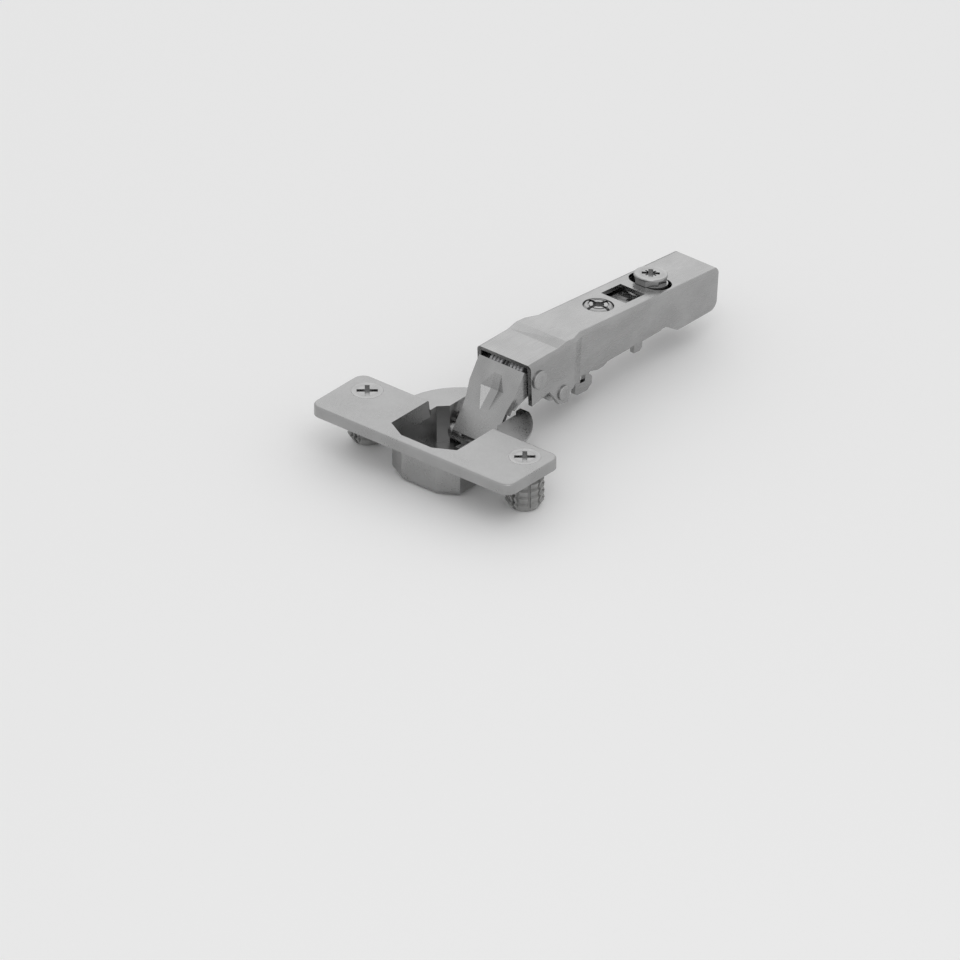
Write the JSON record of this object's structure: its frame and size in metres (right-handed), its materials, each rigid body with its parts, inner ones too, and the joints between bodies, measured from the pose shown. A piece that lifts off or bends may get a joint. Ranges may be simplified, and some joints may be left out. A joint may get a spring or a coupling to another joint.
{
  "type": "concealed cup hinge",
  "caption": "Concealed cup hinge with a flanged cup on dowels, a linked folded arm, adjusting screws and a clip-on carrier, shown open.",
  "frame": {"origin": "on the axis of the bore in the door, in the plane of the door's face, under the flange", "axes": "+X along the flange, +Y from the cup towards the arm's rear end, +Z out of the door"},
  "size_m": [0.0658, 0.113, 0.0244],
  "materials": {
    "hinge_cup": "nickel-plated zinc casting",
    "dowels": "moulded grey nylon",
    "fixing_screws": "nickel-plated",
    "pins": "nickel-plated",
    "outer_link": "nickel-plated",
    "inner_link": "nickel-plated",
    "arm_shell": "nickel-plated",
    "side_screw": "nickel-plated",
    "depth_cam": "nickel-plated",
    "clip_carrier": "nickel-plated",
    "clip_latch": "nickel-plated",
    "springs": "drawn spring wire",
    "spring_sleeve": "moulded acetal"
  },
  "bodies": {
    "cup": {"hinge_cup": "hinge_cup", "dowel_left": "dowels", "dowel_right": "dowels", "fixing_screw_left": "fixing_screws", "fixing_screw_right": "fixing_screws", "cup_pin_lower": "pins", "cup_pin_upper": "pins"},
    "outer": {"outer_link": "outer_link"},
    "inner": {"inner_link": "inner_link"},
    "arm": {"arm_shell": "arm_shell", "arm_pin_front": "pins", "arm_pin_rear": "pins", "closing_spring_left": "springs", "closing_spring_right": "springs", "spring_sleeve": "spring_sleeve"},
    "screw": {"side_screw": "side_screw"},
    "stud": {"cam_stud": "pins"},
    "cam": {"depth_cam": "depth_cam"},
    "carrier": {"clip_carrier": "clip_carrier", "latch_pin": "pins", "latch_spring": "springs"},
    "latch": {"clip_latch": "clip_latch"}
  },
  "joints": [
    {"name": "link_turn", "type": "hinge", "parent": "cup", "child": "outer", "pos_m": [0, 0.007, -0.00725], "axis": [1, 0, 0], "range_deg": [0, 90]},
    {"name": "arm_turn", "type": "hinge", "parent": "outer", "child": "arm", "pos_m": [0, 0.0206, 0.0075], "axis": [1, 0, 0], "range_deg": [0, 5.51]},
    {"name": "inner_link_turn", "type": "hinge", "parent": "cup", "child": "inner", "pos_m": [0, 0.00954, -0.00442], "axis": [1, 0, 0], "range_deg": [0, 106.05]},
    {"name": "depth_slide", "type": "slide", "parent": "arm", "child": "stud", "axis": [0, 0.9954, -0.0958], "range_m": [-0.00104, 0.00104]},
    {"name": "depth_cam_turn", "type": "hinge", "parent": "stud", "child": "cam", "pos_m": [0, 0.0748, 0.00911], "axis": [0, 0.0958, 0.9954], "range_deg": [-60.1, 60.1]},
    {"name": "side_tilt", "type": "hinge", "parent": "stud", "child": "carrier", "pos_m": [0, 0.07451, 0.00607], "axis": [1, 0, 0], "range_deg": [-1.49, 1.49]},
    {"name": "side_screw_turn", "type": "hinge", "parent": "arm", "child": "screw", "pos_m": [0, 0.0544, 0.01107], "axis": [0, 0.0958, 0.9954], "range_deg": [-240.5, 240.5]},
    {"name": "latch_press", "type": "hinge", "parent": "carrier", "child": "latch", "pos_m": [0, 0.07778, 0.00139], "axis": [1, 0, 0], "range_deg": [0, 12], "stiffness_Nm_per_rad": 0.05, "springref_deg": -5.73, "deforming": ["latch_spring"]}
  ],
  "couplings": [
    {"joint": "arm_turn", "follows": "link_turn", "ratio": 0.061111},
    {"joint": "inner_link_turn", "follows": "link_turn", "ratio": 1.1778},
    {"joint": "depth_cam_turn", "follows": "depth_slide", "rad_per_m": -1007.7},
    {"joint": "side_screw_turn", "follows": "side_tilt", "ratio": 161.01}
  ]
}
